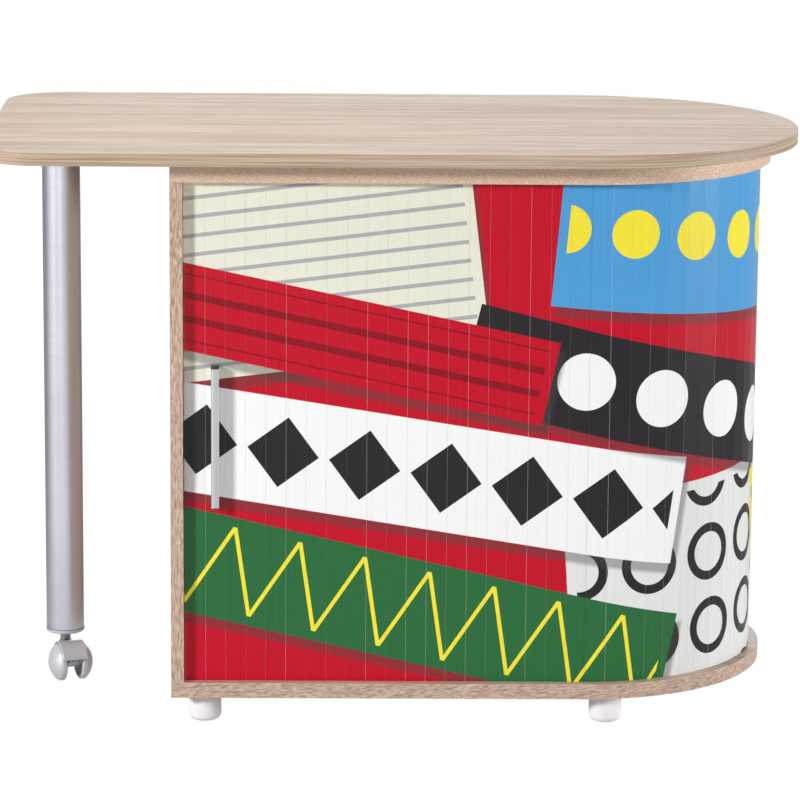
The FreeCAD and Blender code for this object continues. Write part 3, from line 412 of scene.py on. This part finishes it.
# Print: how bare the slats' edges are, the seed that makes them differ, and the fine lines of the ink
SEAM_BARENESS = (0.12, 0.62)
SEAM_COLOUR = rgb(225, 222, 222)
SEAM_STRIDE = 7.31
SEAM_ROW = 0.5
INK_SCALES = (900, 2, 1)
INK_TONES = ((0.35, (0.97, 0.97, 0.97, 1)), (0.65, (1, 1, 1, 1)))
PRINT_ROUGHNESS = (0.25, 0.31)
PRINT_SHINE = 0.17
PRINT_BUMP = (0.01, 0.0002)


class Print(Graph):
    """The picture, in metres: u along the shutter from its free edge, v up from the floor."""

    def __init__(self, name):
        super().__init__(name)
        self.place = self.uv("print")

    def over(self, under, centre, size, angle, colour, motif, ink):
        """Lays a paper over the picture so far, with its soft shadow, and draws a motif on it."""
        turn = math.radians(angle)
        shadow = self.edge(self.local(centre, turn, SHADOW_SHIFT), size)
        under = self.mix(self.spread(shadow, *SHADOW_EDGE, SHADOW_STRENGTH, 0.0), under, SHADOW_COLOUR)
        local = self.local(centre, turn)
        distance = self.edge(local, size)
        inset = self.spread(distance, -MOTIF_MARGIN - MOTIF_FADE, -MOTIF_MARGIN, 1.0, 0.0)
        colour = self.mix(self.math("MULTIPLY", motif(local), inset), colour, ink)
        return self.mix(self.crisp(distance), under, colour)

    def local(self, centre, turn, shift=(0.0, 0.0)):
        """Place on a paper, from its centre and along its sides."""
        moved = self.mapped(self.place, location=(-centre[0] - shift[0], -centre[1] - shift[1], 0))
        return self.mapped(moved, rotation=(0, 0, -turn))

    def edge(self, local, size):
        """Distance outside a paper's edge, negative inside."""
        x, y = self.split(local)[:2]
        beyond_x = self.math("SUBTRACT", self.math("ABSOLUTE", x), size[0] / 2)
        beyond_y = self.math("SUBTRACT", self.math("ABSOLUTE", y), size[1] / 2)
        return self.math("MAXIMUM", beyond_x, beyond_y)

    def crisp(self, distance):
        """One inside an edge and zero outside it."""
        return self.spread(distance, -EDGE_SOFTNESS, EDGE_SOFTNESS, 1.0, 0.0)

    def repeat(self, value, pitch):
        """Place within one of many cells of a pitch, from the cell's middle."""
        cells = self.math("DIVIDE", self.math("ADD", value, CELLS_BEFORE * pitch), pitch)
        share = self.math("SUBTRACT", self.math("FRACT", cells), 0.5)
        return self.math("MULTIPLY", share, pitch)

    def from_spots(self, local, pitch, row):
        """Distance from the nearest of a line of spots, or of a grid of them if a row height is given."""
        x, y = self.split(local)[:2]
        x = self.repeat(x, pitch)
        y = self.repeat(y, row) if row else y
        squares = self.math("ADD", self.math("MULTIPLY", x, x), self.math("MULTIPLY", y, y))
        return self.math("SQRT", squares)

    def discs(self, pitch, radius, row=None):
        def draw(local):
            return self.crisp(self.math("SUBTRACT", self.from_spots(local, pitch, row), radius))
        return draw

    def rings(self, pitch, radius, width, row=None):
        def draw(local):
            off = self.math("ABSOLUTE", self.math("SUBTRACT", self.from_spots(local, pitch, row), radius))
            return self.crisp(self.math("SUBTRACT", off, width / 2))
        return draw

    def stripes(self, pitch, width):
        def draw(local):
            off = self.math("ABSOLUTE", self.repeat(self.split(local)[Y_AXIS], pitch))
            return self.crisp(self.math("SUBTRACT", off, width / 2))
        return draw

    def diamonds(self, pitch, half):
        def draw(local):
            x, y = self.split(local)[:2]
            x = self.math("ABSOLUTE", self.repeat(x, pitch))
            total = self.math("ADD", x, self.math("ABSOLUTE", y))
            return self.crisp(self.math("SUBTRACT", total, half))
        return draw

    def zigzag(self, pitch, height, width):
        def draw(local):
            x, y = self.split(local)[:2]
            tooth = self.math("ABSOLUTE", self.repeat(x, pitch))
            level = self.math("MULTIPLY", self.math("SUBTRACT", tooth, pitch / 4), 4 * height / pitch)
            off = self.math("ABSOLUTE", self.math("SUBTRACT", y, level))
            return self.crisp(self.math("SUBTRACT", off, width / 2))
        return draw


def printed(name):
    """The shutter's plastic: a semi-gloss print with bare edges at the seams."""
    g = Print(name)
    # Each paper: centre, size, angle in degrees, colour, motif and the motif's colour
    papers = [
        ((0.16, 0.62), (0.42, 0.30), 7, CREAM, g.stripes(0.024, 0.005), GREY),
        ((0.70, 0.63), (0.46, 0.20), -5, BLUE, g.discs(0.088, 0.031), YELLOW),
        ((0.74, 0.17), (0.50, 0.30), 4, PALE, g.rings(0.094, 0.032, 0.012, 0.1), CHARCOAL),
        ((0.30, 0.150), (0.66, 0.135), -13, GREEN, g.zigzag(0.085, 0.055, 0.014), YELLOW),
        ((0.28, 0.335), (0.72, 0.140), -9, WHITE, g.diamonds(0.105, 0.046), CHARCOAL),
        ((0.66, 0.415), (0.62, 0.130), -14, CHARCOAL, g.discs(0.104, 0.037), WHITE),
        ((0.20, 0.505), (0.54, 0.110), -12, RED, g.stripes(0.030, 0.009), DEEP_RED),
        ((0.90, 0.25), (0.17, 0.13), 9, YELLOW, g.rings(0.17, 0.034, 0.014), BLUE),
        ((1.10, 0.56), (0.36, 0.15), -8, GREEN, g.stripes(0.03, 0.01), YELLOW),
        ((1.13, 0.33), (0.32, 0.19), 6, WHITE, g.discs(0.06, 0.018, 0.06), RED),
        ((1.08, 0.12), (0.30, 0.10), -6, CHARCOAL, g.diamonds(0.08, 0.03), WHITE),
    ]
    picture = RED
    for paper in papers:
        picture = g.over(picture, *paper)
    u = g.split(g.place)[0]
    across = g.math("ABSOLUTE", g.repeat(u, SLAT_PITCH))
    joint = g.math("FLOOR", g.math("DIVIDE", g.math("ADD", u, SLAT_PITCH / 2), SLAT_PITCH))
    chance = g.noise(g.join(g.math("MULTIPLY", joint, SEAM_STRIDE), SEAM_ROW), detail=0.0)
    bare = g.spread(chance, *NARROW, *SEAM_BARENESS)
    half = (SLAT_PITCH - SLAT_SEAM) / 2
    seam = g.math("MULTIPLY", bare, g.spread(across, half - SLAT_ROUND, half - SLAT_ROUND / 2))
    lines = g.noise(g.mapped(g.place, INK_SCALES), detail=2.0)
    picture = g.mix(1.0, picture, g.ramp(lines, *INK_TONES), "MULTIPLY")
    g.set(Base_Color=g.mix(seam, picture, SEAM_COLOUR))
    g.set(Roughness=g.spread(lines, *WIDE, *PRINT_ROUGHNESS), Specular_IOR_Level=PRINT_SHINE)
    g.set(Normal=g.bump(lines, *PRINT_BUMP))
    return g.material


# Materials, and the nodes that they dress
handle_low, handle_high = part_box("handle")
handle_crown = ((handle_low.x + handle_high.x) / 2, (handle_high.x - handle_low.x) / 2)

oak_top = wood("oak_table_top", X_AXIS, Z_AXIS, (4, 4, 620), edge_tones=TOP_EDGE_TONES, pink=0.0)
oak_board = wood("oak_board", X_AXIS, Z_AXIS, (290, 290, 900), (0, 0.3, 0),
                 edge_tones=PANEL_EDGE_TONES, pink=0.2)
# The bottom board's faces take darker tones than the other boards: painted shade.
oak_base_painted_shade = wood("oak_base_painted_shade", X_AXIS, Z_AXIS, (120, 120, 660), (0, 0.15, 0), SHADED_BASE_TONES, BASE_EDGE_TONES)
oak_upright = wood("oak_upright", Z_AXIS, X_AXIS, (420, 420, 80))
oak_back = wood("oak_back", Z_AXIS, Y_AXIS, (420, 420, 80))
aluminium = satin_metal("satin_aluminium", rgb(194, 194, 203), 0.36, (12, 12, 900), 0.04)
bright_aluminium = satin_metal("bright_aluminium", rgb(182, 183, 185), 0.56, (900, 900, 5),
                               crown=handle_crown)
zinc = satin_metal("zinc_steel", rgb(200, 201, 204), 0.30, (300, 300, 300))
cast_zinc = satin_metal("cast_zinc", rgb(186, 186, 188), 0.45, (250, 250, 250))
stem_steel = satin_metal("stem_steel", rgb(150, 148, 155), 0.34, (5, 5, 900))
silver = plastic("silver_plastic", rgb(198, 197, 205), 0.5, metallic=0.35)
white = plastic("white_plastic", rgb(246, 242, 247), 0.46)
black = plastic("black_plastic", rgb(44, 40, 38), 0.45)
nylon = plastic("nylon", rgb(231, 227, 218), 0.42)
beech = plain_wood("beech", rgb(219, 193, 156))
shutter_print = printed("printed_plastic")

dress = {
    oak_top: ["table_top"],
    oak_board: ["top_panel", "lower_shelf", "upper_shelf"],
    oak_base_painted_shade: ["bottom_board"],
    oak_upright: ["side_panel", "partition"],
    oak_back: ["false_back", "back_panel"],
    aluminium: ["leg_tube"],
    bright_aluminium: ["handle"],
    zinc: ["pivot_plate", "pivot_washer", "pivot_nut", "leg_flange", "pivot_plate_screws",
           "leg_flange_screws", "handle_screws", "cam_bolts", "foot_studs", "shelf_pins", "stem_clip",
           "caster_axle", "caster_sleeve"],
    stem_steel: ["caster_stem"],
    cast_zinc: ["cam_locks"],
    silver: ["leg_end_cap", "caster_hood", "wheel_left", "wheel_right"],
    white: ["foot_front_left", "foot_front_right", "foot_back_left", "foot_back_right"],
    black: ["handle_end_caps"],
    nylon: ["glide_ring", "pivot_bush", "glide_pads"],
    beech: ["carcass_dowels"],
}
for material, names in dress.items():
    for node_name in names:
        for material_slot in nodes[node_name].material_slots:
            material_slot.material = material

rounding = nodes["handle"].modifiers.new("rounding", "BEVEL")
rounding.width = HANDLE_ROUNDING
rounding.segments = HANDLE_ROUNDING_STEPS
rounding.limit_method = "ANGLE"


# Meshes


def new_piece(name, points, faces, material, spots=None):
    """An object with its own mesh; spots, where given, are the UVs of its points."""
    mesh = bpy.data.meshes.new(name)
    mesh.from_pydata([tuple(p) for p in points], [], faces)
    if spots:
        layer = mesh.uv_layers.new(name="print")
        for loop in mesh.loops:
            layer.data[loop.index].uv = spots[loop.vertex_index]
    mesh.materials.append(material)
    mesh.validate()
    mesh.update()
    piece = bpy.data.objects.new(name, mesh)
    bpy.context.scene.collection.objects.link(piece)
    return piece


def prism_faces(base, size):
    """Faces between two outlines of one size, whose points follow each other from a base index."""
    faces = [[base + k for k in reversed(range(size))], [base + size + k for k in range(size)]]
    for k in range(size):
        after = (k + 1) % size
        faces.append([base + k, base + after, base + size + after, base + size + k])
    return faces


# Slats


def slat_section(half):
    """Outline of a slat: along the shutter and outward, with rounded outer edges and slanting sides."""
    quarter = [math.radians(90 * step / SLAT_ROUND_STEPS) for step in range(SLAT_ROUND_STEPS + 1)]
    corners = []
    for side, angles in ((-1, reversed(quarter)), (1, quarter)):
        for angle in angles:
            along = half - SLAT_ROUND + SLAT_ROUND * math.sin(angle)
            corners.append((side * along, SLAT_ROUND * (math.cos(angle) - 1)))
    shoulder = SLAT_BACK_RISE - SLAT_THICKNESS
    corners += [(half - SLAT_TAPER, shoulder), (half - SLAT_BACK_BEVEL, -SLAT_THICKNESS)]
    corners += [(SLAT_BACK_BEVEL - half, -SLAT_THICKNESS), (SLAT_TAPER - half, shoulder)]
    return corners


def slat_place(index):
    """Matrix that takes a slat's section to its place; index counts from the free edge."""
    face = Matrix.Translation((0, -SHUTTER_FACE, 0))
    pivot = Matrix.Translation((PIVOT_X, 0, 0))
    if index < FRONT_COUNT:
        return Matrix.Translation(((index + 0.5 - FRONT_COUNT) * SLAT_PITCH, 0, 0)) @ pivot @ face
    index -= FRONT_COUNT
    if index < BEND_COUNT:
        return pivot @ Matrix.Rotation(math.pi * (index + 0.5) / BEND_COUNT, 4, "Z") @ face
    index -= BEND_COUNT
    back = Matrix.Rotation(math.pi, 4, "Z")
    return Matrix.Translation((-(index + 0.5) * SLAT_PITCH, 0, 0)) @ pivot @ back @ face


def make_slats(name, first, count, body, node):
    """One piece with some of the shutter's slats; its UVs are places on the unrolled shutter."""
    points = []
    faces = []
    spots = []
    for index in range(first, first + count):
        matrix = slat_place(index)
        on_bend = FRONT_COUNT <= index < FRONT_COUNT + BEND_COUNT
        pitch = 2 * SHUTTER_FACE * math.tan(math.pi / BEND_COUNT / 2) if on_bend else SLAT_PITCH
        section = slat_section((pitch - SLAT_SEAM) / 2)
        faces += prism_faces(len(points), len(section))
        for height in (SLAT_BOTTOM, SLAT_TOP):
            for along, out in section:
                if index == 0 and along < 0:
                    along -= CLOSING_EDGE
                points.append(matrix @ Vector((along, -out, height)))
                spots.append(((index + 0.5 + along / pitch) * SLAT_PITCH, height))
    piece = new_piece(name, points, faces, shutter_print, spots)
    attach(piece, body)
    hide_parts(node)
    return piece


make_slats("slat_lead", 0, 1, "shutter", "lead_slat")
make_slats("slat_with_handle", 1, 1, "shutter", "handle_slat")
front = make_slats("slats_front", LEAD_COUNT, FRONT_COUNT - LEAD_COUNT, "cabinet", "front_slats")
make_slats("slats_bend", FRONT_COUNT, BEND_COUNT, "cabinet", "bend_slats")
make_slats("slats_tail", FRONT_COUNT + BEND_COUNT, TAIL_COUNT, "cabinet", "tail_slats")
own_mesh(front)


# Small pieces of the leg and the caster


def small_piece(name, points, faces, material, body):
    piece = new_piece(name, points, faces, material)
    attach(piece, body)


def make_cap_painted_shadow():
    """A black ring of painted shadow where the leg's tube meets its end cap, in place of the shade in the
    gap there.
    """
    low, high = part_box("leg_tube")
    centre = (low + high) / 2
    radius = (high.x - low.x) / 2
    inner = radius - RING_INSIDE
    outer = radius + RING_OUTSIDE
    section = [(inner, -RING_BELOW), (outer, -RING_BELOW), (outer, RING_ABOVE), (inner, RING_ABOVE)]
    size = len(section)
    points = []
    faces = []
    for step in range(RING_STEPS):
        angle = 2 * math.pi * step / RING_STEPS
        for away, rise in section:
            x = centre.x + away * math.cos(angle)
            y = centre.y + away * math.sin(angle)
            points.append((x, y, low.z + rise))
        here = size * step
        there = size * ((step + 1) % RING_STEPS)
        for k in range(size):
            after = (k + 1) % size
            faces.append([here + k, there + k, there + after, here + after])
    small_piece("cap_painted_shadow", points, faces, black, "table")


def make_hood_ribs():
    """Thin ribs under the hood's front lip."""
    place = Matrix.Translation(AXLE_PLACE) @ Matrix.Rotation(CASTER_TURN, 4, "Z")
    points = []
    faces = []
    for middle in RIB_MIDDLES:
        faces += prism_faces(len(points), len(RIB_OUTLINE))
        for side in (RIB_HALF, -RIB_HALF):
            points += [place @ Vector((middle + side, y, z)) for y, z in RIB_OUTLINE]
    small_piece("hood_ribs", points, faces, silver, "caster")


# A black ring of painted shadow at the foot of the leg's tube.
make_cap_painted_shadow()
make_hood_ribs()


# Studio floor: half its width in metres, its grey, and how bright it looks to the camera
FLOOR_HALF = 40.0
FLOOR_GREY = (0.55, 0.55, 0.55, 1)
FLOOR_SEEN = 1.1
FLOOR_GLOW_SHARE = 0.9

# Studio floor in mirrors: from these places along Y to these strengths
FLOOR_MIRROR_RANGE = (-0.6, 0.5)
FLOOR_MIRROR_LEVELS = (1.3, 0.4)

# Studio world: heading of the strongest soft light; strengths by closeness to it, and in mirrors by Y
SOFT_LIGHT_FROM = (-0.30, -0.80, 0.50)
SOFT_LIGHT_RANGE = (-0.9, 0.9)
SOFT_LIGHT_LEVELS = (0.03, 0.15)
WORLD_MIRROR_RANGE = (-0.3, 0.7)
WORLD_MIRROR_LEVELS = (0.3, 1.0)
BACKDROP_LEVEL = 1.0

# Lamps: name, place and target in metres, width and height in metres, power in watts
LAMPS = (
    ("key", (-6.2, -5.2, 3.1), (0.0, 0.0, 0.4), 1.2, 1.2, 605),
    ("front", (-0.9, -4.8, 0.55), (-0.2, 0.0, 0.4), 1.6, 0.8, 16),
    ("fill", (6.2, -1.0, 1.1), (0.45, 0.0, 0.4), 2.0, 1.6, 300),
    ("overhead", (-0.38, -0.5, 2.7), (0.0, 0.0, 0.7), 1.6, 1.2, 22),
    ("back", (0.3, 5.2, 0.6), (0.1, 0.2, 0.4), 2.4, 0.8, 90),
)


def studio_floor():
    """A pale floor that shows as white and keeps the desk's shadow; metal mirrors it brightest in front."""
    g = Graph("floor_paper")
    g.tree.nodes.remove(g.shader)
    paper = g.add("BsdfDiffuse")
    g.feed(paper.inputs["Color"], FLOOR_GREY)
    glow = g.add("Emission")
    rays = g.add("LightPath").outputs
    mirrored = g.spread(g.split(g.object_place())[Y_AXIS], *FLOOR_MIRROR_RANGE, *FLOOR_MIRROR_LEVELS)
    lift = g.math("SUBTRACT", FLOOR_SEEN, mirrored)
    g.feed(glow.inputs["Strength"], g.math("MULTIPLY_ADD", rays["Is Camera Ray"], lift, mirrored))
    seen = g.math("MAXIMUM", rays["Is Camera Ray"], rays["Is Glossy Ray"])
    seen = g.math("MAXIMUM", seen, rays["Is Transmission Ray"])
    share = g.add("MixShader")
    g.feed(share.inputs[0], g.math("MULTIPLY", seen, FLOOR_GLOW_SHARE))
    g.feed(share.inputs[1], paper.outputs[0])
    g.feed(share.inputs[2], glow.outputs[0])
    g.feed(g.tree.nodes["Material Output"].inputs["Surface"], share.outputs[0])
    corners = [(x * FLOOR_HALF, y * FLOOR_HALF, 0) for x, y in ((-1, -1), (1, -1), (1, 1), (-1, 1))]
    floor = new_piece("floor", corners, [(0, 1, 2, 3)], g.material)


def studio_world():
    """A white backdrop behind a dimmer studio; its soft light is stronger from the front and above."""
    world = bpy.data.worlds.new("studio")
    world.use_nodes = True
    bpy.context.scene.world = world
    g = Tree(world.node_tree)
    heading = g.add("TexCoord").outputs["Generated"]
    toward = g.add("VectorMath", operation="DOT_PRODUCT")
    g.feed(toward.inputs[0], heading)
    g.feed(toward.inputs[1], Vector(SOFT_LIGHT_FROM).normalized())
    strength = g.spread(toward.outputs["Value"], *SOFT_LIGHT_RANGE, *SOFT_LIGHT_LEVELS)
    mirrored = g.spread(g.split(heading)[Y_AXIS], *WORLD_MIRROR_RANGE, *WORLD_MIRROR_LEVELS)
    rays = g.add("LightPath").outputs
    looks = (
        ("Is Glossy Ray", mirrored),
        ("Is Transmission Ray", mirrored),
        ("Is Camera Ray", BACKDROP_LEVEL),
    )
    for ray, seen in looks:
        choice = g.add("Mix")
        g.feed(choice.inputs["Factor"], rays[ray])
        g.feed(choice.inputs["A"], strength)
        g.feed(choice.inputs["B"], seen)
        strength = choice.outputs["Result"]
    back = g.tree.nodes["Background"]
    g.feed(back.inputs["Strength"], strength)
    g.feed(back.inputs["Color"], (1.0, 1.0, 1.0, 1.0))


def area_light(name, place, target, width, height, power):
    lamp = bpy.data.lights.new(name, "AREA")
    lamp.shape = "RECTANGLE"
    lamp.size = width
    lamp.size_y = height
    lamp.energy = power
    light = bpy.data.objects.new(name, lamp)
    light.location = place
    light.rotation_euler = (Vector(target) - Vector(place)).to_track_quat("-Z", "Y").to_euler()
    bpy.context.scene.collection.objects.link(light)


def make_camera():
    data = bpy.data.cameras.new("camera")
    data.sensor_width = SENSOR
    data.lens = CAMERA_FOCAL / FRAME_PIXELS * SENSOR
    data.clip_end = CAMERA_REACH
    camera = bpy.data.objects.new("camera", data)
    turn = Matrix.Rotation(-CAMERA_YAW, 4, "Z") @ Matrix.Rotation(math.pi / 2 - CAMERA_PITCH, 4, "X")
    camera.matrix_world = Matrix.Translation(CAMERA_PLACE) @ turn @ Matrix.Rotation(CAMERA_ROLL, 4, "Z")
    bpy.context.scene.collection.objects.link(camera)
    bpy.context.scene.camera = camera


studio_floor()
studio_world()
for lamp_values in LAMPS:
    area_light(*lamp_values)
make_camera()
bpy.context.scene.view_settings.view_transform = "Standard"
